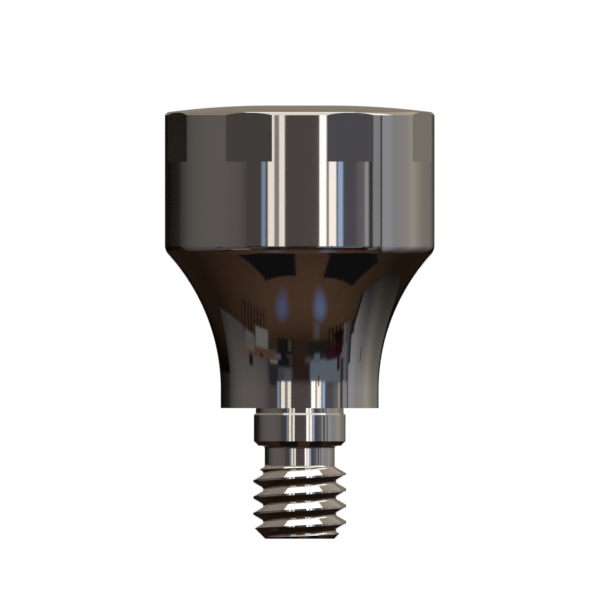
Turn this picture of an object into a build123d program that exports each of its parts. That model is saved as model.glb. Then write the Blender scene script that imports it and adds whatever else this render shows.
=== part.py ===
from build123d import *
import os
from math import ceil, radians, sqrt, tan

# A magnetic abutment for a dental implant: a disc magnet sealed between a thin cap
# and a turned base, which flares down to the implant's seat and screws into it.
# Millimetres. +Z runs along the axis, away from the implant. The origin is the centre
# of the seat, the flat ring that closes on top of the implant.

# Head: a straight drum with a slightly domed contact face
head_diameter = 5.8
head_height = 6.51
contact_flat_diameter = 1.3
dome_radius = 16.9
rim_chamfer = 0.065
rim_crown = 0.004

# Wrench flats milled round the top of the drum
flat_count = 8
flat_depth = 0.05
flat_height = 1.0

# Flare from the seat out to the drum
seat_diameter = 3.4
seat_land_height = 0.39
flare_radius = 4.32
drum_edge_radius = 0.3

# Pin under the seat: a relief, the pilot collar and a shank thinner than the thread.
# The relief is carried up into the seat, wider than the collar, so the seat closes flat
seat_undercut_width = 0.045
seat_undercut_depth = 0.04
relief_height = 0.105
relief_depth = 0.042
relief_draft = 1.0
collar_diameter = 1.974
collar_length = 0.663
collar_chamfer = 0.1
shank_length = 0.446
shank_undercut = 0.032
shank_fillet = 0.06

# Thread, metric, right-hand
thread_diameter = 2.0
thread_pitch = 0.35
thread_angle = 60.0
thread_length = 1.554
thread_shoulder_angle = 30.0
thread_exit_angle = 170.0
tip_chamfer = 0.255

# Sealed chamber for the magnet
cap_wall = 0.25
cap_roof = 0.2
chamber_corner_radius = 0.1
seam_gap_to_edge = 0.03
spigot_height = 0.3
spigot_clearance = 0.02
spigot_chamfer = 0.05
magnet_side_clearance = 0.03
magnet_top_clearance = 0.02

# Radii
head_radius = head_diameter / 2
seat_radius = seat_diameter / 2
contact_flat_radius = contact_flat_diameter / 2
dome_edge_radius = head_radius - rim_chamfer
collar_radius = collar_diameter / 2
relief_radius = collar_radius - relief_depth
relief_wall_height = relief_height + seat_undercut_depth
relief_root_radius = relief_radius - relief_wall_height * tan(radians(relief_draft))
seat_inner_radius = collar_radius + seat_undercut_width
crest_radius = thread_diameter / 2

# Heights on the head: the dome's arc starts level at the edge of the contact flat
dome_reach = dome_edge_radius - contact_flat_radius
dome_drop = dome_radius - sqrt(dome_radius**2 - dome_reach**2)
rim_z = head_height - dome_drop
drum_top_z = rim_z - rim_chamfer

# The drum's lower edge is an arc that touches both the drum and the flare's arc
flare_centre_r = seat_radius + flare_radius
edge_centre_r = head_radius - drum_edge_radius
centre_distance = flare_radius + drum_edge_radius
edge_offset_r = flare_centre_r - edge_centre_r
edge_offset_z = sqrt(centre_distance**2 - edge_offset_r**2)
drum_bottom_z = seat_land_height + edge_offset_z
flare_share = flare_radius / centre_distance
flare_top_r = flare_centre_r - edge_offset_r * flare_share
flare_top_z = seat_land_height + edge_offset_z * flare_share

# Chamber and magnet
seam_z = drum_bottom_z + seam_gap_to_edge
spigot_top_z = seam_z + spigot_height
chamber_radius = head_radius - cap_wall
chamber_top_z = rim_z - cap_roof
spigot_radius = chamber_radius - spigot_clearance
magnet_radius = chamber_radius - magnet_side_clearance
magnet_height = chamber_top_z - magnet_top_clearance - spigot_top_z

# Thread form: crests an eighth of the pitch wide, cut to 17/24 of the sharp depth
sharp_depth = thread_pitch / 2 / tan(radians(thread_angle / 2))
thread_depth = sharp_depth * 17 / 24
root_radius = crest_radius - thread_depth
crest_flat = thread_pitch / 8
flank_run = thread_depth * tan(radians(thread_angle / 2))
root_flat = thread_pitch - crest_flat - 2 * flank_run
shank_radius = root_radius - shank_undercut

# Depths down the pin
collar_top_z = -(relief_height + relief_depth)
collar_bottom_z = collar_top_z - collar_length
thread_top_z = collar_bottom_z - shank_length
tip_z = thread_top_z - thread_length


def turned(outline):
    """A solid turned about Z from closed lines drawn as (radius, height)."""
    return revolve(Plane.XZ * make_face(outline), Axis.Z)


def flare():
    """The trumpet between the seat and the seam, with the rounded edge of the drum."""
    land = Line((seat_radius, 0), (seat_radius, seat_land_height))
    trumpet = TangentArc(land @ 1, (flare_top_r, flare_top_z), tangent=land % 1)
    edge = TangentArc(trumpet @ 1, (head_radius, drum_bottom_z), tangent=trumpet % 1)
    rest = Polyline(
        edge @ 1,
        (head_radius, seam_z),
        (0, seam_z),
        (0, seat_undercut_depth),
        (relief_root_radius, seat_undercut_depth),
        (seat_inner_radius, 0),
        (seat_radius, 0),
    )
    return turned([land, trumpet, edge, rest])


def spigot():
    """The register on top of the base, which centres the cap and carries the magnet."""
    return turned(
        Polyline(
            (0, seam_z),
            (spigot_radius, seam_z),
            (spigot_radius, spigot_top_z - spigot_chamfer),
            (spigot_radius - spigot_chamfer, spigot_top_z),
            (0, spigot_top_z),
            close=True,
        )
    )


def pilot():
    """The drafted relief under the seat, the pilot collar and the shank below it."""
    upper = Polyline(
        (0, thread_top_z),
        (0, seat_undercut_depth),
        (relief_root_radius, seat_undercut_depth),
        (relief_radius, -relief_height),
        (collar_radius, collar_top_z),
        (collar_radius, collar_bottom_z + collar_chamfer),
        (collar_radius - collar_chamfer, collar_bottom_z),
        (shank_radius + shank_fillet, collar_bottom_z),
    )
    corner = TangentArc(
        upper @ 1,
        (shank_radius, collar_bottom_z - shank_fillet),
        tangent=(-1, 0),
    )
    lower = Polyline(corner @ 1, (shank_radius, thread_top_z), (0, thread_top_z))
    return turned([upper, corner, lower])


def thread_blank():
    """What the thread is cut from: a shoulder cone, the crest and the tip chamfer."""
    shoulder_height = (crest_radius - shank_radius) * tan(radians(thread_shoulder_angle))
    return turned(
        Polyline(
            (0, thread_top_z),
            (shank_radius, thread_top_z),
            (crest_radius, thread_top_z - shoulder_height),
            (crest_radius, tip_z + tip_chamfer),
            (crest_radius - tip_chamfer, tip_z),
            (0, tip_z),
            close=True,
        )
    )


def groove_edge(radius, height):
    """One helical edge of a turn of the groove, from the given height on +X."""
    return Helix(
        pitch=thread_pitch,
        height=thread_pitch,
        radius=radius,
        center=(0, 0, height),
    ).edge()


def groove_turn():
    """One full turn of the groove, its flanks carried on a little past the crest."""
    mouth_radius = crest_radius + crest_flat / 4
    half_root = root_flat / 2
    half_mouth = half_root + (mouth_radius - root_radius) * flank_run / thread_depth
    edges = [
        groove_edge(root_radius, -half_root),
        groove_edge(mouth_radius, -half_mouth),
        groove_edge(mouth_radius, half_mouth),
        groove_edge(root_radius, half_root),
    ]
    walls = [
        Face.make_surface_from_curves(edge, following)
        for edge, following in zip(edges, edges[1:] + edges[:1])
    ]
    ends = [
        make_face(Polyline(*[edge @ end for edge in edges], close=True)).face()
        for end in (0, 1)
    ]
    return Solid(Shell(walls + ends))


def thread():
    """The blank with its groove cut turn by turn, from below the tip to above it."""
    cut = thread_blank()
    turn = groove_turn()
    for step in range(ceil(thread_length / thread_pitch) + 2):
        turn_z = tip_z + (step - 1) * thread_pitch
        cut -= Location((0, 0, turn_z), (0, 0, thread_exit_angle)) * turn
    return cut


def threaded_base():
    """Flare, spigot and pin, turned in one, with the thread cut on its lower end."""
    return flare() + spigot() + pilot() + thread()


def wrench_flats():
    """What the mill takes off round the top of the drum."""
    apothem = head_radius - flat_depth
    outside = Circle(head_diameter)
    outside -= RegularPolygon(apothem, flat_count, major_radius=False)
    ring = extrude(outside, head_height - drum_top_z + flat_height)
    return Pos(0, 0, drum_top_z - flat_height) * ring


def chamber():
    """The bore inside the cap, with the corner that the boring tool leaves."""
    roof = Polyline(
        (chamber_radius, seam_z),
        (0, seam_z),
        (0, chamber_top_z),
        (chamber_radius - chamber_corner_radius, chamber_top_z),
    )
    corner = TangentArc(
        roof @ 1,
        (chamber_radius, chamber_top_z - chamber_corner_radius),
        tangent=(1, 0),
    )
    return turned([roof, corner, Line(corner @ 1, roof @ 0)])


def magnet_cap():
    """The thin cup over the magnet: drum, rim chamfer and domed contact face."""
    side = Polyline((0, seam_z), (head_radius, seam_z), (head_radius, drum_top_z))
    rim = SagittaArc(side @ 1, (dome_edge_radius, rim_z), -rim_crown)
    dome = TangentArc((contact_flat_radius, head_height), rim @ 1, tangent=(1, 0))
    top = Polyline(dome @ 0, (0, head_height), (0, seam_z))
    return turned([side, rim, dome, top]) - wrench_flats() - chamber()


def magnet_disc():
    """The magnet, its edges broken so that they clear the corner of the chamber."""
    edge_break = chamber_corner_radius
    return turned(
        Polyline(
            (0, spigot_top_z),
            (magnet_radius - edge_break, spigot_top_z),
            (magnet_radius, spigot_top_z + edge_break),
            (magnet_radius, spigot_top_z + magnet_height - edge_break),
            (magnet_radius - edge_break, spigot_top_z + magnet_height),
            (0, spigot_top_z + magnet_height),
            close=True,
        )
    )


def main():
    os.makedirs("parts", exist_ok=True)
    nodes = {
        "threaded_base": threaded_base(),
        "magnet_disc": magnet_disc(),
        "magnet_cap": magnet_cap(),
    }
    for name, solid in nodes.items():
        export_step(solid, f"parts/{name}.step")


if __name__ == "__main__":
    main()
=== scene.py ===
"""A magnetic abutment for a dental implant, dressed for its picture.

Laid out as a Blender add-on. Run as a script, it builds fine meshes for the turned base
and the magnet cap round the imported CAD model, gives every piece its finish, and sets up
the studio. Metres. +Z runs along the axis, away from the implant, and the origin is the
centre of the seat.
"""

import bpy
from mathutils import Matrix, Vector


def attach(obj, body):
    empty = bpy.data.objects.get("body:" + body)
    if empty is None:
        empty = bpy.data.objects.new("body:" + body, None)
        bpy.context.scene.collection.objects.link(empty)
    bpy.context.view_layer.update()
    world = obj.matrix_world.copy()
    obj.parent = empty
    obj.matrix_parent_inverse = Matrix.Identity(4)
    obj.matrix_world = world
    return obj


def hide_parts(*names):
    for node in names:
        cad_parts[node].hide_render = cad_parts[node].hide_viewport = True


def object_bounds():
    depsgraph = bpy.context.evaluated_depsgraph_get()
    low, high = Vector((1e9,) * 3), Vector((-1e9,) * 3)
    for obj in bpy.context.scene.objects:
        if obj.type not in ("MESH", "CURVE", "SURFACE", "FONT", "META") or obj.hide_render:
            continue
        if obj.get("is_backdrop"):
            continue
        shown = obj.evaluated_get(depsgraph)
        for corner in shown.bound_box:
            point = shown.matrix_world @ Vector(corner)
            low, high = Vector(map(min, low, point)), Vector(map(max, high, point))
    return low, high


bl_info = {
    "name": "Magnetic abutment",
    "version": (1, 0, 0),
    "blender": (4, 5, 0),
    "location": "3D View > Sidebar > Abutment",
    "description": "Builds a magnetic dental abutment and a studio round it",
    "category": "Object",
}

from math import atan2, cos, pi, prod, radians, sin, sqrt, tan
from types import SimpleNamespace

import bpy
import numpy as np
from bpy.types import Operator, Panel, PropertyGroup

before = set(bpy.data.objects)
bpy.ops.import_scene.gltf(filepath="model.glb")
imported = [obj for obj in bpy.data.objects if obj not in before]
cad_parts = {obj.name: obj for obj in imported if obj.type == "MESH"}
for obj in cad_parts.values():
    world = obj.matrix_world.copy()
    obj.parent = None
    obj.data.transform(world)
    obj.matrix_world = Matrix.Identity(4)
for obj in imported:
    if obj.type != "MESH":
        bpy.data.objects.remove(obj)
cad_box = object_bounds()

MM = 0.001

# How finely a piece is turned and its groove is stepped
SEGMENTS = 256
POINTS_PER_TURN = 160
ROOT_STEPS = 6
NEARLY_ZERO = 1e-9

# A face belongs to the surface with the least offset and tilt: the unit of offset, the
# weight of a tilt, and how well the surface's normal has to match the face's
OFFSET_UNIT = 0.01 * MM
TILT_WEIGHT = 15
LEAST_MATCH = 0.9


# --- Properties


def share(name, description, default, **settings):
    """A plain number, unless its settings say more."""
    settings = {"min": 0.0, "precision": 4, **settings}
    return bpy.props.FloatProperty(
        name=name, description=description, default=default, **settings
    )


def mm(name, description, millimetres):
    """A length, given in millimetres."""
    kind = {"precision": 6, "unit": "LENGTH", "subtype": "DISTANCE"}
    return share(name, description, millimetres * MM, **kind)


def turn(name, description, degrees):
    """An angle, given in degrees."""
    return share(name, description, radians(degrees), unit="ROTATION", subtype="ANGLE")


def colour(name, description, default):
    """A linear colour."""
    kind = {"size": 3, "min": 0.0, "soft_max": 1.0, "subtype": "COLOR"}
    return bpy.props.FloatVectorProperty(
        name=name, description=description, default=default, **kind
    )


class ABUTMENT_PG_head(PropertyGroup):
    """Sizes of the cap over the magnet."""

    diameter: mm("Head diameter", "Across the drum", 5.8)
    height: mm("Head height", "Seat to the top of the contact face", 6.51)
    contact_flat: mm("Contact flat", "Across the level middle of the top", 1.3)
    dome_radius: mm("Dome radius", "Radius of the top's shallow dome", 16.9)
    rim_chamfer: mm("Rim chamfer", "Width of the break round the top", 0.065)
    rim_crown: mm("Rim crown", "Slight crown of the rim chamfer", 0.004)
    flat_count: bpy.props.IntProperty(
        name="Wrench flats", description="How many are milled", default=8, min=3
    )
    flat_depth: mm("Flat depth", "Depth at the middle of a flat", 0.05)
    flat_height: mm("Flat height", "Rim down to a flat's lower ledge", 1.0)
    wall: mm("Cap wall", "Thickness of the drum's wall", 0.25)
    roof: mm("Cap roof", "Thickness of the top at its rim", 0.2)
    bore_corner: mm("Bore corner", "Radius of the chamber's corner", 0.1)


class ABUTMENT_PG_stem(PropertyGroup):
    """Sizes of the flare, the seat and the pin."""

    seat_diameter: mm("Seat diameter", "Across the seat on the implant", 3.4)
    seat_land: mm("Seat land", "Height of the land over the seat", 0.39)
    flare_radius: mm("Flare radius", "Radius of the trumpet's hollow", 4.32)
    drum_edge: mm("Drum edge", "Radius of the drum's lower edge", 0.3)
    seam_gap: mm("Seam gap", "Lower edge of the drum to the weld seam", 0.03)
    spigot_height: mm("Spigot height", "Height of the register in the cap", 0.3)
    spigot_clearance: mm("Spigot clearance", "Room round the register", 0.02)
    spigot_chamfer: mm("Spigot chamfer", "Break on the register", 0.05)
    undercut_width: mm("Seat undercut", "Undercut beyond the collar", 0.045)
    undercut_depth: mm("Undercut depth", "Undercut up into the seat", 0.04)
    relief_height: mm("Relief height", "Height of the relief at the seat", 0.105)
    relief_depth: mm("Relief depth", "Depth of the relief in the collar", 0.042)
    relief_draft: turn("Relief draft", "Slope of the relief's wall", 1.0)
    collar_diameter: mm("Collar diameter", "Across the pilot collar", 1.974)
    collar_length: mm("Collar length", "Length of the pilot collar", 0.663)
    collar_chamfer: mm("Collar chamfer", "Break under the collar", 0.1)
    shank_length: mm("Shank length", "Collar to the thread's shoulder", 0.446)
    shank_undercut: mm("Shank undercut", "Shank below the thread's root", 0.032)
    shank_fillet: mm("Shank fillet", "Corner under the collar", 0.06)
    shoulder_fillet: mm("Shoulder fillet", "Corner over the thread", 0.06)


class ABUTMENT_PG_thread(PropertyGroup):
    """Sizes of the thread."""

    diameter: mm("Thread diameter", "Across the crests", 2.0)
    pitch: mm("Pitch", "Rise of the thread in one turn", 0.35)
    angle: turn("Thread angle", "Angle between the flanks", 60.0)
    length: mm("Thread length", "Shoulder to the tip", 1.554)
    shoulder: turn("Shoulder angle", "Slope of the thread's shoulder", 30.0)
    start: turn("Exit angle", "Where the groove leaves the tip", 170.0)
    tip_chamfer: mm("Tip chamfer", "Break round the tip", 0.255)
    root_rounding: share("Root rounding", "From 0, a flat root, to 1, a full round", 1.0)


class ABUTMENT_PG_finish(PropertyGroup):
    """Colours and polish of the metals."""

    titanium: colour("Titanium", "Colour of the titanium", (0.62, 0.60, 0.58))
    magnet: colour("Magnet", "Colour of the magnet", (0.42, 0.42, 0.43))
    polish: share("Polish", "Roughness of the mirror polish", 0.055)
    haze: share("Haze", "Roughness that handling adds in places", 0.035)
    turning_marks: share("Turning marks", "Strength of the lathe's fine rings", 0.25)


class ABUTMENT_PG_studio(PropertyGroup):
    """Colours and levels of the studio."""

    floor: colour("Floor", "Colour of the pale floor", (0.93, 0.93, 0.93))
    day: share("Day level", "Level of the even light on the floor", 0.62)
    lamp: share("Lamp level", "Power of the lamp, in milliwatts", 260.0)
    window: colour("Window", "Colour of the bright panes", (1.75, 1.72, 1.66))
    curtain: colour("Curtain", "Colour of the shaded panes", (1.27, 1.20, 1.06))
    bar: colour("Bar", "Colour of the bars between the panes", (0.33, 0.31, 0.31))
    sky: colour("Sky", "Colour of the strips beside the panes", (0.45, 0.63, 0.92))
    ceiling_light: colour("Ceiling light", "Colour overhead", (1.7, 1.64, 1.55))
    boards: colour("Boards", "Colour of the tent's ground", (0.093, 0.052, 0.032))


GROUPS = dict(
    abutment_head=ABUTMENT_PG_head,
    abutment_stem=ABUTMENT_PG_stem,
    abutment_thread=ABUTMENT_PG_thread,
    abutment_finish=ABUTMENT_PG_finish,
    abutment_studio=ABUTMENT_PG_studio,
)


def measure():
    """The radii and heights that follow from the sizes, as in the CAD source."""
    scene = bpy.context.scene
    head, stem, thread = scene.abutment_head, scene.abutment_stem, scene.abutment_thread
    head_r = head.diameter / 2
    seat_r = stem.seat_diameter / 2
    contact_r = head.contact_flat / 2
    dome_edge_r = head_r - head.rim_chamfer
    collar_r = stem.collar_diameter / 2
    relief_r = collar_r - stem.relief_depth
    wall_height = stem.relief_height + stem.undercut_depth
    relief_root_r = relief_r - wall_height * tan(stem.relief_draft)
    seat_inner_r = collar_r + stem.undercut_width
    crest_r = thread.diameter / 2

    dome_reach = dome_edge_r - contact_r
    top_z = head.height
    dome_centre_z = top_z - head.dome_radius
    rim_z = dome_centre_z + sqrt(head.dome_radius**2 - dome_reach**2)
    drum_top_z = rim_z - head.rim_chamfer
    flat_foot_z = drum_top_z - head.flat_height
    apothem = head_r - head.flat_depth
    half_chord = head.rim_chamfer / sqrt(2)
    rim_size = (half_chord**2 + head.rim_crown**2) / (2 * head.rim_crown)
    inset = (rim_size - head.rim_crown) / sqrt(2)
    rim_centre_r = (head_r + dome_edge_r) / 2 - inset
    rim_centre_z = (drum_top_z + rim_z) / 2 - inset

    flare_centre_r = seat_r + stem.flare_radius
    edge_centre_r = head_r - stem.drum_edge
    reach = stem.flare_radius + stem.drum_edge
    offset_r = flare_centre_r - edge_centre_r
    offset_z = sqrt(reach**2 - offset_r**2)
    drum_bottom_z = stem.seat_land + offset_z
    along = stem.flare_radius / reach
    flare_top_r = flare_centre_r - offset_r * along
    flare_top_z = stem.seat_land + offset_z * along

    seam_z = drum_bottom_z + stem.seam_gap
    spigot_top_z = seam_z + stem.spigot_height
    bore_r = head_r - head.wall
    bore_top_z = rim_z - head.roof
    spigot_r = bore_r - stem.spigot_clearance

    # Crests are an eighth of the pitch wide, the groove 17/24 of the sharp depth
    flank_slope = tan(thread.angle / 2)
    depth = thread.pitch / 2 / flank_slope * 17 / 24
    root_r = crest_r - depth
    crest_flat = thread.pitch / 8
    root_flat = thread.pitch - crest_flat - 2 * depth * flank_slope
    root_rounding = thread.root_rounding * root_flat / 2 / flank_slope
    shank_r = root_r - stem.shank_undercut

    collar_top_z = -(stem.relief_height + stem.relief_depth)
    collar_foot_z = collar_top_z - stem.collar_length
    thread_top_z = collar_foot_z - stem.shank_length
    tip_z = thread_top_z - thread.length

    # The thread's shoulder, and where the fillet over it begins
    shoulder_z = thread_top_z - (crest_r - shank_r) * tan(thread.shoulder)
    ease = stem.shoulder_fillet / tan((pi / 2 + thread.shoulder) / 2)
    eased_r = shank_r + ease * cos(thread.shoulder)
    eased_z = thread_top_z - ease * sin(thread.shoulder)
    return SimpleNamespace(**locals())


# --- Turned shapes


class Outline:
    """An outline drawn as (radius, height), with the metal on its left.

    Each run keeps how its normals go, so that a polish can follow the true surface.
    """

    def __init__(self, radius, height):
        self.points = [(radius, height)]
        self.runs = []

    def line(self, radius, height):
        """A straight run to the given point."""
        run = [self.points[-1], (radius, height)]
        step_r, step_z = np.subtract(run[1], run[0])
        across = np.array([step_z, -step_r]) / np.hypot(step_r, step_z)
        self.points.append(run[1])
        self.runs.append((run, lambda p: np.tile(across, (len(p), 1))))

    def lines(self, *points):
        """Straight runs from point to point."""
        for point in points:
            self.line(*point)

    def arc(self, radius, height, centre, steps):
        """An arc about a centre, the short way round to the given point."""
        (x, y), (mid_x, mid_y) = self.points[-1], centre
        size = sqrt((x - mid_x) ** 2 + (y - mid_y) ** 2)
        first = atan2(y - mid_y, x - mid_x)
        sweep = atan2(height - mid_y, radius - mid_x) - first
        sweep = (sweep + pi) % (2 * pi) - pi
        angles = [first + sweep * step / steps for step in range(1, steps)]
        walked = [(mid_x + size * cos(a), mid_y + size * sin(a)) for a in angles]
        walked = [(x, y), *walked, (radius, height)]

        def away(p):
            spoke = p - centre
            return np.sign(sweep) * spoke / np.hypot(*spoke.T)[:, None]

        self.points += walked[1:]
        self.runs.append((walked, away))


def new_mesh(name, verts, faces):
    """A mesh from its vertices and faces."""
    mesh = bpy.data.meshes.new(name)
    mesh.from_pydata(verts, [], faces)
    mesh.update()
    return mesh


def turned(name, outline):
    """A mesh turned about Z from an outline that ends on the axis."""
    angles = np.arange(SEGMENTS) * (2 * pi / SEGMENTS)
    verts, rings, faces = [], [], []
    for radius, height in outline.points:
        first = len(verts)
        if radius < NEARLY_ZERO:
            rings.append([first] * SEGMENTS)
            verts.append((0.0, 0.0, height))
        else:
            rings.append(range(first, first + SEGMENTS))
            verts += [(radius * cos(a), radius * sin(a), height) for a in angles]
    for low, high in zip(rings, rings[1:]):
        for k in range(SEGMENTS):
            n = (k + 1) % SEGMENTS
            # On the axis two corners are one
            faces.append(tuple(dict.fromkeys((low[k], low[n], high[n], high[k]))))
    return new_mesh(name, verts, faces)


def split(points):
    """Radius and height of points, and their directions away from and round the axis."""
    x, y, height = points.T
    radius = np.hypot(x, y)
    safe = np.where(radius < NEARLY_ZERO, 1.0, radius)
    out = np.stack([x / safe, y / safe, 0 * x], 1)
    return radius, height, out, np.stack([-y / safe, x / safe, 0 * x], 1)


def turned_surface(run):
    """Offset from, and normal of, the surface that a run of an outline sweeps."""
    corners, normal_of = np.array(run[0]), run[1]

    def surface(points):
        radius, height, out, _ = split(points)
        p = np.stack([radius, height], 1)
        offset = np.full(len(p), np.inf)
        for a, step in zip(corners, np.diff(corners, axis=0)):
            along = np.clip((p - a) @ step / (step @ step), 0, 1)
            gap = p - (a + along[:, None] * step)
            offset = np.minimum(offset, np.hypot(*gap.T))
        n = normal_of(p)
        normal = out * n[:, :1]
        normal[:, 2] = n[:, 1]
        return offset, normal

    return surface


def flat_surface(direction, distance):
    """Offset from, and normal of, a plane."""
    direction = np.array(direction)

    def surface(points):
        return abs(points @ direction - distance), np.tile(direction, (len(points), 1))

    return surface


def groove_surfaces(m, pitch, start):
    """The thread's two flanks and its rounded root, as offset and normal."""
    rise = pitch / (2 * pi)

    def swept(profile):
        """The surface that a profile across the groove sweeps along it."""

        def surface(points):
            radius, height, out, round_ = split(points)
            turned_by = np.arctan2(points[:, 1], points[:, 0])
            centre = m.tip_z + (turned_by - start) * rise
            across = (height - centre + pitch / 2) % pitch - pitch / 2
            offset, outward, upward = profile(radius, across)
            normal = outward[:, None] * out
            normal -= (upward * rise / np.maximum(radius, 1e-6))[:, None] * round_
            normal[:, 2] = upward
            return offset, normal / np.linalg.norm(normal, axis=1)[:, None]

        return surface

    def flank(facing):
        def profile(radius, across):
            half = m.root_flat / 2 + (radius - m.root_r) * m.flank_slope
            offset = abs(across + facing * half) * cos(pi / 6)
            ones = np.ones(len(radius))
            return offset, m.flank_slope * ones, facing * ones

        return swept(profile)

    def root(radius, across):
        inward = m.root_r + m.root_rounding - radius
        size = np.hypot(inward, across)
        safe = np.maximum(size, NEARLY_ZERO)
        return abs(size - m.root_rounding), inward / safe, -across / safe

    return [flank(1.0), flank(-1.0), swept(root)]


def read(items, attribute, parts=1, kind=float):
    """An attribute of all of a mesh's items, in rows if it has parts."""
    values = np.zeros(len(items) * parts, kind)
    items.foreach_get(attribute, values)
    return values.reshape(-1, parts) if parts > 1 else values


def true_normals(mesh, surfaces):
    """Gives each corner of the mesh the normal of its true surface."""
    centres = read(mesh.polygons, "center", 3)
    facing = read(mesh.polygons, "normal", 3)
    cost = []
    for surface in surfaces:
        offset, normal = surface(centres)
        tilt = 1 - np.sum(normal * facing, axis=1)
        cost.append(offset / OFFSET_UNIT + TILT_WEIGHT * tilt)
    best = np.argmin(np.array(cost), axis=0)
    corners = read(mesh.vertices, "co", 3)[read(mesh.loops, "vertex_index", kind=int)]
    sides = read(mesh.polygons, "loop_total", kind=int)
    faces = np.repeat(np.arange(len(sides)), sides)
    normals = facing[faces]
    for index, surface in enumerate(surfaces):
        mine = best[faces] == index
        if mine.any():
            _, normal = surface(corners[mine])
            flat = normals[mine]
            near = np.sum(normal * flat, axis=1) > LEAST_MATCH
            normals[mine] = np.where(near[:, None], normal, flat)
    mesh.polygons.foreach_set("use_smooth", np.ones(len(sides), bool))
    mesh.normals_split_custom_set(normals.tolist())
    mesh.update()


# --- Node trees


def operator(operation, reflected=False):
    """A method that puts two values through one Math node."""

    def method(self, other):
        values = (other, self) if reflected else (self, other)
        return self.tree.math(operation, *values)

    return method


class Number:
    """A value in a node tree, so that its maths can be written as Python."""

    def __init__(self, tree, socket):
        self.tree, self.socket = tree, socket

    __add__, __radd__ = operator("ADD"), operator("ADD", reflected=True)
    __sub__, __rsub__ = operator("SUBTRACT"), operator("SUBTRACT", reflected=True)
    __mul__, __rmul__ = operator("MULTIPLY"), operator("MULTIPLY", reflected=True)
    __truediv__, __rtruediv__ = operator("DIVIDE"), operator("DIVIDE", reflected=True)
    __pow__ = operator("POWER")
    __gt__, __lt__ = operator("GREATER_THAN"), operator("LESS_THAN")
    at_least, at_most = operator("MAXIMUM"), operator("MINIMUM")

    def __neg__(self):
        return self * -1.0

    def __abs__(self):
        return self.tree.math("ABSOLUTE", self)

    def clamp(self):
        """This value held between 0 and 1."""
        return self.tree.number(self.tree.node("ShaderNodeClamp", {"Value": self}))


class Tree:
    """A node tree, to which one method adds nodes."""

    def __init__(self, owner):
        self.nodes, self.links = owner.nodes, owner.links

    def node(self, kind, sockets=None, stops=(), **settings):
        """A node: settings first, then its sockets, where a node is its first output."""
        made = self.nodes.new(kind)
        for name, value in settings.items():
            setattr(made, name, value)
        if stops:
            elements = made.color_ramp.elements
            while len(elements) < len(stops):
                elements.new(0.5)
            for element, (position, tint) in zip(elements, stops):
                element.position = position
                element.color = (*tint, 1.0)
        for name, value in (sockets or {}).items():
            into = made.inputs[name]
            if isinstance(value, bpy.types.Node):
                value = value.outputs[0]
            elif isinstance(value, Number):
                value = value.socket
            if isinstance(value, bpy.types.NodeSocket):
                self.links.new(value, into)
            elif isinstance(into.default_value, float) or not hasattr(value, "__len__"):
                into.default_value = value
            else:
                into.default_value = (*value, 1.0)[: len(into.default_value)]
        return made

    def number(self, node, output=0):
        """A node's output as a value for maths."""
        return Number(self, node.outputs[output])

    def math(self, operation, *values):
        """Values through one Math node."""
        sockets = dict(enumerate(values))
        return self.number(self.node("ShaderNodeMath", sockets, operation=operation))

    def mix(self, factor, first, second):
        """Two colours through a Mix node."""
        sockets = {0: factor, 6: first, 7: second}
        return self.node("ShaderNodeMix", sockets, data_type="RGBA").outputs[2]

    def dimmed(self, tint, level):
        """A colour times a value."""
        sockets = {0: tint, "Scale": level}
        return self.node("ShaderNodeVectorMath", sockets, operation="SCALE")

    def split(self, vector):
        """The three parts of a vector."""
        made = self.node("ShaderNodeSeparateXYZ", {0: vector})
        return [self.number(made, part) for part in range(3)]

    def join(self, *parts):
        """A vector from its three parts."""
        return self.node("ShaderNodeCombineXYZ", dict(enumerate(parts)))

    def place(self, kind="Object"):
        """Where a point is, on its object or UV map."""
        return self.node("ShaderNodeTexCoord").outputs[kind]

    def noise(self, vector, scale, detail=2, roughness=0.5):
        """Smooth noise, as a value from 0 to 1."""
        sockets = {"Vector": vector, "Scale": scale, "Detail": detail}
        sockets["Roughness"] = roughness
        return self.number(self.node("ShaderNodeTexNoise", sockets), "Fac")


def new_tree(owner):
    """An empty tree for a material or a world."""
    owner.use_nodes = True
    owner.node_tree.nodes.clear()
    return Tree(owner.node_tree)


def new_material(name):
    """An empty material and its tree."""
    material = bpy.data.materials.new(name)
    return material, new_tree(material)


def painted(material, tree, surface):
    """The material with its surface. Nothing that glows is sampled as a light."""
    tree.node("ShaderNodeOutputMaterial", {"Surface": surface})
    material.cycles.emission_sampling = "NONE"
    return material


# --- The thread and the wrench flats, by Geometry Nodes


SOCKETS = {float: "Float", int: "Int", bpy.types.Material: "Material"}


def new_shaper(name, values):
    """A geometry node tree whose inputs are a turned blank and the named values."""
    group = bpy.data.node_groups.new(name, "GeometryNodeTree")
    kinds = {"Turned Blank": "Geometry"}
    kinds |= {label: SOCKETS[type(value)] for label, value in values.items()}
    for label, kind in kinds.items():
        group.interface.new_socket(label, in_out="INPUT", socket_type="NodeSocket" + kind)
    group.interface.new_socket("Shape", in_out="OUTPUT", socket_type="NodeSocketGeometry")
    tree = Tree(group)
    source = tree.node("NodeGroupInput")
    return group, tree, {label: tree.number(source, label) for label in kinds}


def cut_from_blank(tree, size, cutter):
    """Takes a cutter off the blank and gives what is left its metal."""
    sockets = {"Mesh 1": size["Turned Blank"], "Mesh 2": cutter}
    how = {"operation": "DIFFERENCE", "solver": "EXACT"}
    cut = tree.node("GeometryNodeMeshBoolean", sockets, **how)
    real = tree.node("GeometryNodeRealizeInstances", {"Geometry": cut})
    sockets = {"Geometry": real, "Material": size["Metal"]}
    tree.node("NodeGroupOutput", {"Shape": tree.node("GeometryNodeSetMaterial", sockets)})


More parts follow.
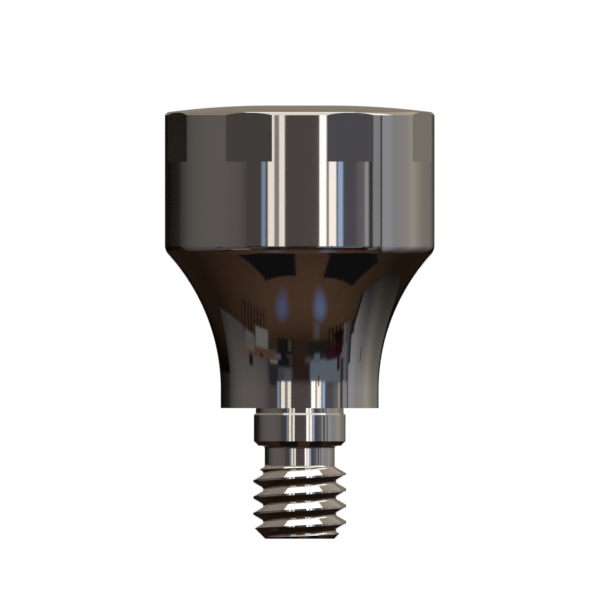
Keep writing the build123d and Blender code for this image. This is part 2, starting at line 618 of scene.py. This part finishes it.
def groove_shaper(values):
    """Cuts a helical groove into a blank."""
    group, tree, size = new_shaper("abutment_thread_groove", values)
    middle = size["Root Radius"] + size["Groove Depth"] * 0.5
    sockets = {
        "Resolution": size["Points per Turn"],
        "Rotations": size["Turns"],
        "Start Radius": middle,
        "End Radius": middle,
        "Height": size["Pitch"] * size["Turns"],
        "Reverse": True,
    }
    sockets = {
        "Geometry": tree.node("GeometryNodeCurveSpiral", sockets),
        "Translation": tree.join(0, 0, size["Start Height"]),
        "Rotation": tree.join(0, 0, size["Start Angle"]),
    }
    placed = tree.node("GeometryNodeTransform", sockets)
    helix = tree.node("GeometryNodeSetCurveNormal", {"Curve": placed}, mode="Z_UP")

    # Only the corners at the root, the profile's lower ones, are rounded
    sockets = {
        "Bottom Width": size["Root Width"],
        "Top Width": size["Mouth Width"],
        "Offset": 0.0,
        "Height": size["Groove Depth"],
    }
    trapezoid = "GeometryNodeCurvePrimitiveQuadrilateral"
    _, up, _ = tree.split(tree.node("GeometryNodeInputPosition"))
    sockets = {
        "Curve": tree.node(trapezoid, sockets, mode="TRAPEZOID"),
        "Count": ROOT_STEPS,
        "Radius": (up < 0.0) * size["Root Rounding"],
        "Limit Radius": False,
    }
    rounded = tree.node("GeometryNodeFilletCurve", sockets, mode="POLY")
    outward = {"Geometry": rounded, "Rotation": (0.0, 0.0, -pi / 2)}
    profile = tree.node("GeometryNodeTransform", outward)
    sockets = {"Curve": helix, "Profile Curve": profile, "Fill Caps": True}
    cut_from_blank(tree, size, tree.node("GeometryNodeCurveToMesh", sockets))
    return group


def flats_shaper(values):
    """Mills flats round a drum, evenly spaced."""
    group, tree, size = new_shaper("abutment_wrench_flats", values)
    index = tree.number(tree.node("GeometryNodeInputIndex"))
    angle = (index + 0.5) * (2 * pi) / size["Flat Count"]
    reach = size["Apothem"] + size["Cutter Depth"] * 0.5
    place = tree.join(
        tree.math("COSINE", angle) * reach,
        tree.math("SINE", angle) * reach,
        size["Foot Height"] + size["Cutter Height"] * 0.5,
    )
    box = tree.join(size["Cutter Depth"], size["Cutter Width"], size["Cutter Height"])
    spread = {"Count": size["Flat Count"], "Position": place}
    sockets = {
        "Points": tree.node("GeometryNodePoints", spread),
        "Instance": tree.node("GeometryNodeMeshCube", {"Size": box}),
        "Rotation": tree.join(0, 0, angle),
    }
    cutters = tree.node("GeometryNodeInstanceOnPoints", sockets)
    real = tree.node("GeometryNodeRealizeInstances", {"Geometry": cutters})
    cut_from_blank(tree, size, real)
    return group


def in_scene(name, data):
    """A new object in the scene."""
    made = bpy.data.objects.new(name, data)
    bpy.context.scene.collection.objects.link(made)
    return made


def shape(name, outline, shaper, values, surfaces):
    """A turned blank cut by a shaper, at the origin, with its true normals."""
    carrier = in_scene(name + "_blank", turned(name + "_blank", outline))
    modifier = carrier.modifiers.new("shaper", "NODES")
    modifier.node_group = shaper(values)
    for item in modifier.node_group.interface.items_tree:
        if item.name in values:
            modifier[item.identifier] = values[item.name]
    evaluated = carrier.evaluated_get(bpy.context.evaluated_depsgraph_get())
    mesh = bpy.data.meshes.new_from_object(evaluated)
    mesh.name = name
    carrier.modifiers.remove(modifier)
    bpy.data.objects.remove(carrier)
    true_normals(mesh, [turned_surface(run) for run in outline.runs] + surfaces)
    made = in_scene(name, mesh)
    made.visible_glossy = False
    return made


# --- Finishes


def shaded(tint, shade):
    """A colour times a number, or times one number for each part."""
    return tuple(np.multiply(tuple(tint), shade))


def metal(material, tree, tint, roughness, bump):
    """A metal whose colour, roughness and fine relief vary."""
    sockets = {
        "Base Color": tint,
        "Metallic": 1.0,
        "Roughness": roughness,
        "Normal": tree.node("ShaderNodeBump", bump),
    }
    return painted(material, tree, tree.node("ShaderNodeBsdfPrincipled", sockets))


def polished_titanium():
    """Mirror-polished titanium, with the faint rings that the lathe leaves."""
    found = bpy.data.materials.get("polished_titanium")
    if found:
        return found
    look = bpy.context.scene.abutment_finish
    material, tree = new_material("polished_titanium")
    place = tree.place()
    x, y, z = tree.split(place)
    along = tree.join((x * x + y * y) ** 0.5, 0, z)
    rings = tree.noise(along, 26000, detail=3)
    sweeps = tree.noise(along, 2600, detail=1)
    cloud = tree.noise(place, 700, detail=4, roughness=0.6)
    warm = tree.noise(place, 330)
    tint = tree.mix(
        (warm - 0.35) * 1.2,
        shaded(look.titanium, (0.97, 0.975, 0.985)),
        shaded(look.titanium, (1.03, 1.02, 1.0)),
    )
    haze = ((cloud - 0.5) * 2.2).clamp() * look.haze
    roughness = look.polish + haze + (rings - 0.5) * 0.02 + (sweeps - 0.5) * 0.015
    bump = {"Strength": look.turning_marks, "Distance": 0.00004 * MM, "Height": rings}
    return metal(material, tree, tint, roughness, bump)


def ground_magnet():
    """The sealed magnet: dull ground metal with grinding lines across its faces."""
    look = bpy.context.scene.abutment_finish
    material, tree = new_material("ground_magnet")
    place = tree.place()
    x, y, z = tree.split(place)
    lines = tree.noise(tree.join(x * 0.04, y, z), 30000)
    patches = tree.noise(place, 900, detail=3)
    tint = tree.mix(patches, shaded(look.magnet, 0.88), shaded(look.magnet, 1.1))
    roughness = 0.3 + patches * 0.15 + lines * 0.08
    bump = {"Strength": 0.5, "Distance": 0.001 * MM, "Height": lines}
    return metal(material, tree, tint, roughness, bump)


# --- Pieces. They stay out of reflections: their polish mirrors only the tent


class ABUTMENT_OT_threaded_base(Operator):
    """Turns the base, from the spigot down to the tip, and cuts its thread"""

    bl_idname = "abutment.threaded_base"
    bl_label = "Threaded base"
    bl_options = {"REGISTER", "UNDO"}

    def execute(self, context):
        m = measure()
        stem, thread = m.stem, m.thread
        outline = Outline(0, m.tip_z)
        outline.lines(
            (m.crest_r - thread.tip_chamfer, m.tip_z),
            (m.crest_r, m.tip_z + thread.tip_chamfer),
            (m.crest_r, m.shoulder_z),
            (m.eased_r, m.eased_z),
        )
        corner = (m.shank_r + stem.shoulder_fillet, m.thread_top_z + m.ease)
        outline.arc(m.shank_r, corner[1], corner, 6)
        corner = (m.shank_r + stem.shank_fillet, m.collar_foot_z - stem.shank_fillet)
        outline.line(m.shank_r, corner[1])
        outline.arc(corner[0], m.collar_foot_z, corner, 8)
        outline.lines(
            (m.collar_r - stem.collar_chamfer, m.collar_foot_z),
            (m.collar_r, m.collar_foot_z + stem.collar_chamfer),
            (m.collar_r, m.collar_top_z),
            (m.relief_r, -stem.relief_height),
            (m.relief_root_r, stem.undercut_depth),
            (m.seat_inner_r, 0),
            (m.seat_r, 0),
            (m.seat_r, stem.seat_land),
        )
        outline.arc(m.flare_top_r, m.flare_top_z, (m.flare_centre_r, stem.seat_land), 40)
        outline.arc(m.head_r, m.drum_bottom_z, (m.edge_centre_r, m.drum_bottom_z), 14)
        outline.lines(
            (m.head_r, m.seam_z),
            (m.spigot_r, m.seam_z),
            (m.spigot_r, m.spigot_top_z - stem.spigot_chamfer),
            (m.spigot_r - stem.spigot_chamfer, m.spigot_top_z),
            (0, m.spigot_top_z),
        )

        # The groove starts a turn below the tip, and its mouth is just past the crest.
        # Its root is rounded just short of a full round
        depth = m.crest_r + m.crest_flat / 4 - m.root_r
        values = {
            "Pitch": thread.pitch,
            "Turns": 6.0,
            "Root Radius": m.root_r,
            "Groove Depth": depth,
            "Root Width": m.root_flat,
            "Mouth Width": m.root_flat + 2 * depth * m.flank_slope,
            "Root Rounding": m.root_rounding * 0.99,
            "Start Height": m.tip_z - thread.pitch,
            "Start Angle": thread.start,
            "Points per Turn": POINTS_PER_TURN,
            "Metal": polished_titanium(),
        }
        surfaces = groove_surfaces(m, thread.pitch, thread.start)
        base = shape("threaded_base_polished", outline, groove_shaper, values, surfaces)
        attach(base, "root")
        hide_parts("threaded_base")
        return {"FINISHED"}


class ABUTMENT_OT_magnet_cap(Operator):
    """Turns the cap over the magnet and mills its wrench flats"""

    bl_idname = "abutment.magnet_cap"
    bl_label = "Magnet cap"
    bl_options = {"REGISTER", "UNDO"}

    def execute(self, context):
        m = measure()
        head = m.head
        outline = Outline(0, m.bore_top_z)
        corner = (m.bore_r - head.bore_corner, m.bore_top_z - head.bore_corner)
        outline.line(corner[0], m.bore_top_z)
        outline.arc(m.bore_r, corner[1], corner, 8)
        outline.lines((m.bore_r, m.seam_z), (m.head_r, m.seam_z), (m.head_r, m.drum_top_z))
        outline.arc(m.dome_edge_r, m.rim_z, (m.rim_centre_r, m.rim_centre_z), 6)
        outline.arc(m.contact_r, m.top_z, (m.contact_r, m.dome_centre_z), 20)
        outline.line(0, m.top_z)

        # The cutters are wider than the flats and run out over the top
        values = {
            "Flat Count": head.flat_count,
            "Apothem": m.apothem,
            "Foot Height": m.flat_foot_z,
            "Cutter Depth": 0.3 * MM,
            "Cutter Width": 1.6 * MM,
            "Cutter Height": head.flat_height + MM,
            "Metal": polished_titanium(),
        }
        surfaces = [flat_surface((0, 0, 1), m.flat_foot_z)]
        for index in range(head.flat_count):
            angle = (index + 0.5) * 2 * pi / head.flat_count
            surfaces.append(flat_surface((cos(angle), sin(angle), 0), m.apothem))
        cap = shape("magnet_cap_polished", outline, flats_shaper, values, surfaces)
        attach(cap, "root")
        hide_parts("magnet_cap")
        return {"FINISHED"}


class ABUTMENT_OT_magnet_disc(Operator):
    """Gives the sealed magnet its ground finish"""

    bl_idname = "abutment.magnet_disc"
    bl_label = "Magnet disc"
    bl_options = {"REGISTER", "UNDO"}

    def execute(self, context):
        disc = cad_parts["magnet_disc"]
        finish = ground_magnet()
        if not disc.material_slots:
            disc.data.materials.append(finish)
        for slot in disc.material_slots:
            slot.material = finish
        disc.visible_glossy = False
        return {"FINISHED"}


# --- Studio

# The picture: its side in pixels, the size of one, and where the axis and the seat lie
PICTURE = 600
PIXEL = MM / 46.5
AXIS_X, SEAT_Y = 299.7, 408.2

FLOOR_REACH = 0.2
TENT_RADIUS = 0.6
CARD_RADIUS, CARD_STEP = 0.4, 0.004

# The tent is given by directions from the object, in degrees: azimuth 0 is towards the
# camera and grows to its right, elevation 0 is level

# Walls: their level at each azimuth, blended from one to the next
WALLS = {
    -180: (0.007, 0.007, 0.006),
    -152: (0.007, 0.007, 0.006),
    -136: (0.018, 0.016, 0.014),
    -127: (0.025, 0.023, 0.02),
    -122: (0.062, 0.059, 0.055),
    -116: (0.089, 0.086, 0.081),
    -105: (0.135, 0.125, 0.116),
    -88: (0.158, 0.145, 0.135),
    -70: (0.162, 0.147, 0.143),
    -53: (0.138, 0.124, 0.121),
    -47: (0.104, 0.093, 0.09),
    -44.8: (0.086, 0.077, 0.074),
    -34: (0.088, 0.078, 0.07),
    -10: (0.1, 0.085, 0.085),
    12: (0.11, 0.093, 0.093),
    16: (0.13, 0.113, 0.113),
    37: (0.106, 0.106, 0.128),
    48.5: (0.106, 0.104, 0.122),
    50: (0.135, 0.148, 0.158),
    57: (0.2, 0.19, 0.2),
    66: (0.33, 0.335, 0.345),
    74: (0.315, 0.325, 0.335),
    75.5: (0.4, 0.4, 0.465),
    85: (0.39, 0.398, 0.43),
    88: (0.33, 0.335, 0.345),
    104: (0.365, 0.352, 0.35),
    114: (0.46, 0.425, 0.38),
    126: (0.325, 0.303, 0.258),
    135: (0.268, 0.248, 0.218),
    148: (0.23, 0.225, 0.204),
    158: (0.14, 0.137, 0.12),
    165: (0.05, 0.05, 0.042),
}

# Windows: name, left, right, softness of the edges in degrees, which of the studio's
# colours, and its shade
WINDOW_FOOT, WINDOW_TOP = -5.1, 34
WINDOWS = [
    ("sky_left", -33.4, -28.6, 1.2, "sky", 0.62),
    ("pane_left_outer", -27.6, -21.1, 0.8, "curtain", 1),
    ("bar_left", -21.3, -17.8, 0.5, "bar", 1),
    ("pane_left_inner", -18, -12.3, 0.8, "curtain", 1),
    ("pane_right_inner", 16.5, 23.1, 0.6, "window", 1),
    ("bar_right", 22.9, 24.7, 0.5, "bar", 1),
    ("pane_right_outer", 24.5, 31.8, 0.8, "window", (0.88, 0.82, 0.81)),
    ("sky_right", 32.2, 38, 1.4, "sky", 1),
]

# What hangs or stands before the walls, nearest first: name, left, right, foot, top,
# softness of the edges, level. The first hangs before the windows.
FURNITURE = [
    ("red_drop", 26.2, 28.8, -8, -1.8, 0.7, (0.07, 0.014, 0.012)),
    ("pane_behind_left", 172.5, 177.5, -17, 0.5, 1.5, (0.75, 0.73, 0.7)),
    ("pane_behind_right", 182.5, 187.5, -17, 0.5, 1.5, (0.75, 0.73, 0.7)),
    ("beam", 57.4, 61.2, -3.8, 34, 0.5, (0.42, 0.41, 0.41)),
    ("jamb_foot", 61.4, 66, -15.5, -3.5, 0.9, (0.026, 0.026, 0.027)),
    ("dark_jamb", 61.6, 65.8, -16, 34, 0.5, (0.054, 0.057, 0.055)),
    ("dark_seam", 73.2, 75.4, -30, 34, 0.4, (0.053, 0.054, 0.064)),
    ("pale_jamb", 64.6, 69.5, -33, -4, 1, (0.128, 0.12, 0.126)),
    ("dark_post", 73.6, 78.2, -27, -11.5, 0.8, (0.012, 0.01, 0.01)),
    # A painted shadow at the foot of the post, by the near end of the right wall
    ("dark_post_foot", 76.4, 82.4, -33, -24.5, 1.3, (0.019, 0.017, 0.017)),
    ("post_right", 69.5, 74, -33, -3, 1.2, (0.08, 0.078, 0.083)),
    ("crack", 95.6, 98.4, -17, -10, 0.6, (0.085, 0.08, 0.072)),
    ("sheen_tail", 18, 31, -41, -27, 4, (0.085, 0.078, 0.085)),
    ("smear", 6, 18, -20, -14, 3, (0.078, 0.066, 0.068)),
    ("seat_end", 53, 64.4, -26, -17.5, 1.2, (0.016, 0.004, 0.006)),
    ("seat_top", 50, 64.4, -31, -24.5, 1.5, (0.007, 0.005, 0.005)),
    ("seat", 38, 61, -25, -15, 1.8, (0.028, 0.008, 0.013)),
    ("seat_leg", 55, 61, -18, -9, 1.5, (0.03, 0.008, 0.014)),
    ("seat_back", 38, 66, -34, -23, 1.5, (0.011, 0.007, 0.006)),
    ("bench_column", 20, 30, -21, -14, 1.6, (0.124, 0.144, 0.184)),
    ("bench", 14, 64, -17.6, -3, 2, (0.14, 0.172, 0.212)),
    ("shelf", 10, 42, -28, -18, 2, (0.018, 0.015, 0.014)),
    ("cabinet", -9.5, 14, -29, -5, 1.5, (0.033, 0.018, 0.014)),
    ("gap_bar", -19.5, -9.5, -20.4, -17.8, 0.8, (0.048, 0.045, 0.044)),
    ("gap_post", -17.5, -11, -29, -21, 1.2, (0.052, 0.05, 0.046)),
    ("gap_foot", -16, -10, -19, -13, 1.2, (0.04, 0.04, 0.04)),
    ("chest_end", -37, -26.5, -20.6, -16.2, 1.5, (0.115, 0.102, 0.124)),
    ("dark_gap", -33, -8, -30, -12, 2, (0.011, 0.01, 0.01)),
    ("haze_pale", -23, -11, -12, -4.2, 1.8, (0.102, 0.11, 0.126)),
    ("window_haze", -32.5, -10, -15, -2.8, 2.5, (0.064, 0.074, 0.092)),
    ("dark_foot", -78.4, -70.8, -17, -10.5, 1.3, (0.014, 0.01, 0.008)),
    ("chest_knob", -60, -54, -19.2, -15.8, 1.5, (0.02, 0.012, 0.01)),
    ("chest_feet", -44, -31, -16.9, -13.8, 1, (0.18, 0.17, 0.158)),
    ("foot_dark", -44.5, -33, -14, -1.5, 2, (0.026, 0.025, 0.029)),
    ("post_outer", -82, -67.5, -27.5, -17.5, 1.2, (0.125, 0.113, 0.103)),
    ("chest", -81, -34, -22, -15.7, 1.2, (0.104, 0.061, 0.04)),
    ("post_inner", -66, -45.5, -32.5, -19.5, 1.5, (0.174, 0.17, 0.152)),
    ("slats", -89, -47, -45, -24, 5, (0.016, 0.011, 0.008)),
    ("low_front", -48, 64, -26, -2.5, 4, (0.034, 0.031, 0.032)),
]
STRIPES = {"seat_back": 5, "slats": 9}

# Places on the ground, one unit down, and the ceiling, one unit up, are given to the
# right and away from the camera. Daylight on the ground: azimuth, reach, half its
# length, level
SHEENS = [
    (-26, 0.93, 0.45, (0.09, 0.11, 0.215)),
    (30, 0.94, 0.46, (0.122, 0.172, 0.33)),
]
SHEEN_WIDTH = 14

# The corners of the two near-black patches on the ground, anticlockwise
FLAGS = [
    [(-0.47, -0.33), (-0.045, -0.385), (-0.035, 0.22), (-0.53, 0.26)],
    [(0.31, -0.355), (0.81, -0.165), (0.77, 0.37), (0.21, 0.24)],
]
FLAG = (0.0075, 0.0075, 0.0082)
# The tint of the painted shadow in the gap between the ground and the right wall
GAP = (0.013, 0.01, 0.008)

# The ceiling's lights: a, b, c and the softness of each edge, where ax + by + c is 0
CEILING_LIGHTS = [
    [
        (1, -0.2, 0.395, 0.03),
        (-1, -0.29, 0.445, 0.03),
        (0, 1, 0.35, 0.03),
        (0, -1, 1.05, 0.03),
    ],
    [(1, 0, -0.3, 0.03), (-1, 0, 2.2, 0.2), (0, 1, 0.8, 0.05), (0, -1, 0.4, 0.06)],
]
CEILING_LEFT, CEILING_RIGHT = (0.35, 0.3, 0.25), (0.63, 0.545, 0.46)
CEILING_FOOT = 0.45
BACK_WALL = (0.275, 0.229, 0.185)


def patch(name, azimuth, elevation, distance, material):
    """A curved card round the object, between two azimuths and elevations.

    Its UV map runs along them. Only the metal sees it, not the camera or the floor.
    """
    wide = max(3, int((azimuth[1] - azimuth[0]) / 3) + 2)
    tall = max(3, int((elevation[1] - elevation[0]) / 5) + 2)
    verts = [
        distance * np.array([sin(a) * cos(e), -cos(a) * cos(e), sin(e)])
        for e in np.radians(np.linspace(*elevation, tall))
        for a in np.radians(np.linspace(*azimuth, wide))
    ]
    corners = np.array([0, wide, wide + 1, 1])
    firsts = [r * wide + k for r in range(tall - 1) for k in range(wide - 1)]
    faces = [tuple(corners + first) for first in firsts]
    card = new_stage_piece(name, verts, faces, material)
    places = [(v % wide / (wide - 1), v // wide / (tall - 1)) for f in faces for v in f]
    card.data.uv_layers.new(name="card").data.foreach_set("uv", np.ravel(places))
    card.visible_camera = False
    card.visible_diffuse = False
    card.visible_shadow = False
    card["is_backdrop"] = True


def new_stage_piece(name, verts, faces, material):
    """A plain object for the stage."""
    mesh = new_mesh(name, verts, faces)
    mesh.materials.append(material)
    return in_scene(name, mesh)


def glow(name, tint, fade, stripes):
    """A glow that fades out along its edges, cut into upright stripes if any."""
    material, tree = new_material(name)
    u, v, _ = tree.split(tree.place("UV"))
    cover = prod(((0.5 - abs(at - 0.5)) / edge).clamp() for at, edge in zip((u, v), fade))
    if stripes:
        wander = tree.noise(tree.join(u * stripes, v * 1.5, 0), 1)
        wave = tree.math("SINE", u * (2 * pi * stripes) + wander * 5)
        cover = cover * (wave * 1.5 + wander * 2 - 0.6).clamp()
    clear = tree.node("ShaderNodeBsdfTransparent")
    lit = tree.node("ShaderNodeEmission", {"Color": tint})
    surface = tree.node("ShaderNodeMixShader", {0: cover, 1: clear, 2: lit})
    return painted(material, tree, surface)


def inside(value, soft=0.02):
    """1 where a value is above nought, with a soft edge."""
    return (value / soft + 0.5).clamp()


def within(x, y, edges):
    """1 where a place is on the inner side of every edge."""
    return prod(inside(x * a + y * b + c, soft) for a, b, c, soft in edges)


def sides(corners):
    """The edges between corners that go round anticlockwise."""
    edges = []
    for (ax, ay), (bx, by) in zip(corners, corners[1:] + corners[:1]):
        long = sqrt((bx - ax) ** 2 + (by - ay) ** 2)
        a, b = (ay - by) / long, (bx - ax) / long
        edges.append((a, b, -a * ax - b * ay, 0.02))
    return edges


def walls_seen(tree, azimuth, x, z):
    """The walls, with faint upright streaks, darker towards their feet."""
    streaks = tree.noise(tree.join(azimuth * 0.7, 0, 0), 1, detail=3, roughness=0.8)
    stops = [((start + 180) / 360, tint) for start, tint in WALLS.items()]
    ramp = tree.node("ShaderNodeValToRGB", {"Fac": (azimuth + 180) / 360}, stops)
    beyond = ((azimuth - 105) / 45).at_least(0.0) ** 1.5
    gentle = inside(azimuth - 64, 4.0) * (1 - ((azimuth - 88) / 14).clamp())
    steep = 1.2 + (x > 0) * 1.1 - gentle * 1.3 + beyond * 3
    shade = (1 + z.at_most(0.0)) ** steep
    return tree.dimmed(ramp, shade * (0.84 + streaks * 0.32))


def ground_on_walls(tree, walls, azimuth, x, y, z):
    """The walls with the boarded ground before them, where a ray meets it."""
    boards = bpy.context.scene.abutment_studio.boards
    down = (-z).at_least(0.02)
    gx, gy = x / down, y / down
    reach = (gx * gx + gy * gy) ** 0.5
    grain = tree.noise(tree.join(gx * 7, gy * 1.4, 0), 1, detail=4)
    off_x, off_y = gx - 0.1, gy + 0.75
    fade = 1 / (1 + off_x * off_x * 0.2 + off_y * off_y * 1.08)
    # The ground is darker over a patch behind the object, away from the camera
    back_x, back_y = gx / 0.7, (gy - 0.75) / 0.5
    hollow = (1 - back_x * back_x - back_y * back_y).clamp()
    far_level = (down - 0.05).at_least(0.05).at_most(0.22)
    level = fade.at_least(far_level) * (1 - hollow * 0.55) * (0.86 + grain * 0.28)
    ground = tree.dimmed(tuple(boards), level)
    for middle, distance, half_length, tint in SHEENS:
        off_axis = (azimuth - middle) / SHEEN_WIDTH
        sheen = (1 - off_axis**2 - ((reach - distance) / half_length) ** 2).clamp()
        ground = tree.mix(sheen * sheen, ground, tint)
    left, right = (within(gx, gy, sides(corners)) for corners in FLAGS)
    ground = tree.mix(left + right, ground, FLAG)

    # It ends at the feet of the walls. The right one is nearer, with a painted shadow in
    # the gap at its near end, and the ground runs on past both its ends and at the back
    # left
    near_end, far_end = azimuth + z * 65, azimuth - z * 53
    right_foot = 1.1 + (gy - 0.5).at_least(0.0) * 0.05
    right_foot = right_foot + (near_end < 50.5) * 1.2 + (far_end > 163) * 9
    left_foot = 1.86 + (azimuth < -122) * 9
    between = inside(right_foot - gx) * inside(gx + left_foot) * inside(gy + 1.96)
    on_ground = inside(-z - 0.01, 0.005) * between
    shadow_gap = inside(2.0 - abs(near_end - 48.5), 1.0) * inside(0.1 - abs(z + 0.57))
    return tree.mix(on_ground, walls, tree.mix(shadow_gap, ground, GAP))


def ceiling_seen(tree, x, y, z):
    """The ceiling, lighter on the right, with its lights."""
    up = z.at_least(0.02)
    cx, cy = x / up, y / up
    first, second = (within(cx, cy, edges) for edges in CEILING_LIGHTS)
    far = ((cy - 0.15) * 2.2).clamp() + ((cx - 0.6) * 2).clamp()
    tint = tuple(bpy.context.scene.abutment_studio.ceiling_light)
    lit = tree.dimmed(tint, 0.68 + far.clamp() * 0.6)
    plain = tree.mix((cx + 0.3).clamp() ** 2, CEILING_LEFT, CEILING_RIGHT)
    return tree.mix(first.at_least(second), plain, lit)


def tent_room():
    """Walls, a boarded ground with two near-black patches, and a ceiling."""
    material, tree = new_material("tent_room")
    unit = tree.node("ShaderNodeVectorMath", {0: tree.place()}, operation="NORMALIZE")
    x, y, z = tree.split(unit)
    azimuth = tree.math("ARCTAN2", x, -y) * (180 / pi)
    lower = ground_on_walls(tree, walls_seen(tree, azimuth, x, z), azimuth, x, y, z)
    above = inside(z - CEILING_FOOT, 0.01)
    seen = tree.mix(above, lower, ceiling_seen(tree, x, y, z))
    low, high = inside(z - 0.022, 0.004), inside(CEILING_FOOT - z, 0.01)
    behind = inside(abs(azimuth) - 118, 2.0) * low * high
    seen = tree.mix(behind, seen, BACK_WALL)
    return painted(material, tree, tree.node("ShaderNodeEmission", {"Color": seen}))


def light_path(tree):
    """1 where a ray comes straight, mirrored or refracted to the camera."""
    path = tree.node("ShaderNodeLightPath")
    rays = ("Is Camera Ray", "Is Glossy Ray", "Is Transmission Ray")
    return sum(tree.number(path, ray) for ray in rays).clamp()


def lay_floor(studio, height):
    """A plain pale floor, lifted a little for the camera, that keeps shadows."""
    material, tree = new_material("pale_floor")
    diffuse = tree.node("ShaderNodeBsdfDiffuse", {"Color": tuple(studio.floor)})
    lift = tree.node("ShaderNodeEmission", {"Color": (1, 1, 1)})
    sockets = {0: light_path(tree) * 0.35, 1: diffuse, 2: lift}
    painted(material, tree, tree.node("ShaderNodeMixShader", sockets))
    corners = [(-1, -1), (1, -1), (1, 1), (-1, 1)]
    verts = [(FLOOR_REACH * x, FLOOR_REACH * y, height) for x, y in corners]
    floor = new_stage_piece("pale_floor", verts, [(0, 1, 2, 3)], material)
    floor.visible_glossy = False
    floor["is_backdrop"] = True


def light_scene(scene, studio):
    """White surroundings, an even day level for what is lit, and one soft lamp."""
    scene.world = bpy.data.worlds.new("white_surroundings")
    tree = new_tree(scene.world)
    white = tree.mix(light_path(tree), (studio.day,) * 3, (1, 1, 1))
    background = tree.node("ShaderNodeBackground", {"Color": white})
    tree.node("ShaderNodeOutputWorld", {"Surface": background})

    # The lamp stands high at the front left
    lamp = bpy.data.lights.new("soft_lamp", "AREA")
    lamp.shape = "DISK"
    lamp.size = 0.05
    lamp.energy = studio.lamp * 0.001
    stand = in_scene("soft_lamp", lamp)
    stand.location = (-0.035, -0.03, 0.075)
    stand.rotation_euler = (0.46, -0.42, 0.0)
    stand.visible_glossy = False


def pitch_tent(studio):
    """The tent and the cards in it, which only the metal sees."""
    patch("tent", (-180, 180), (-90, 90), TENT_RADIUS, tent_room())
    cards = FURNITURE[:1]
    for name, left, right, soft, part, shade in WINDOWS:
        tint = shaded(getattr(studio, part), shade)
        cards.append((name, left, right, WINDOW_FOOT, WINDOW_TOP, soft, tint))
    cards += FURNITURE[1:]
    for index, (name, left, right, foot, top, soft, tint) in enumerate(cards):
        fade = (soft / (right - left), soft / (top - foot))
        material = glow(name, tint, fade, STRIPES.get(name, 0))
        distance = CARD_RADIUS + CARD_STEP * index
        patch(name, (left, right), (foot, top), distance, material)


def set_camera(scene):
    """A camera level with the middle of the object."""
    camera = bpy.data.cameras.new("camera")
    camera.type = "ORTHO"
    camera.ortho_scale = PICTURE * PIXEL
    camera.clip_start = 0.001
    camera.clip_end = 2.0
    eye = in_scene("camera", camera)
    middle = PICTURE / 2
    eye.location = ((middle - AXIS_X) * PIXEL, -0.06, (SEAT_Y - middle) * PIXEL)
    eye.rotation_euler = (pi / 2, 0.0, 0.0)
    scene.camera = eye
    scene.view_settings.view_transform = "Standard"


class ABUTMENT_OT_studio(Operator):
    """Lays the pale floor and sets the lamp, the cards and the camera"""

    bl_idname = "abutment.studio"
    bl_label = "Studio"
    bl_options = {"REGISTER", "UNDO"}

    def execute(self, context):
        scene = context.scene
        studio = scene.abutment_studio
        lay_floor(studio, measure().tip_z)
        light_scene(scene, studio)
        pitch_tent(studio)
        set_camera(scene)
        return {"FINISHED"}


class ABUTMENT_PT_sidebar(Panel):
    """Lists the pieces of the abutment and their sizes"""

    bl_idname = "ABUTMENT_PT_sidebar"
    bl_label = "Magnetic abutment"
    bl_space_type = "VIEW_3D"
    bl_region_type = "UI"
    bl_category = "Abutment"

    def draw(self, context):
        layout = self.layout
        for button in OPERATORS:
            layout.operator(button.bl_idname)
        for attribute, group in GROUPS.items():
            box = layout.box()
            box.label(text=attribute.replace("abutment_", "").capitalize())
            values = getattr(context.scene, attribute)
            for name in group.__annotations__:
                box.prop(values, name)


OPERATORS = (
    ABUTMENT_OT_threaded_base,
    ABUTMENT_OT_magnet_cap,
    ABUTMENT_OT_magnet_disc,
    ABUTMENT_OT_studio,
)
CLASSES = (*GROUPS.values(), *OPERATORS, ABUTMENT_PT_sidebar)


def register():
    for made in CLASSES:
        bpy.utils.register_class(made)
    for attribute, group in GROUPS.items():
        setattr(bpy.types.Scene, attribute, bpy.props.PointerProperty(type=group))


def unregister():
    for attribute in GROUPS:
        delattr(bpy.types.Scene, attribute)
    for made in reversed(CLASSES):
        bpy.utils.unregister_class(made)


def main():
    """Builds the pieces and the studio in order, and gathers both boxes."""
    register()
    bpy.ops.abutment.threaded_base()
    bpy.ops.abutment.magnet_cap()
    bpy.ops.abutment.magnet_disc()
    bpy.ops.abutment.studio()
    boxes = {
        "cad": [list(corner) for corner in cad_box],
        "visual": [list(corner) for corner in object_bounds()],
    }


if __name__ == "__main__":
    main()
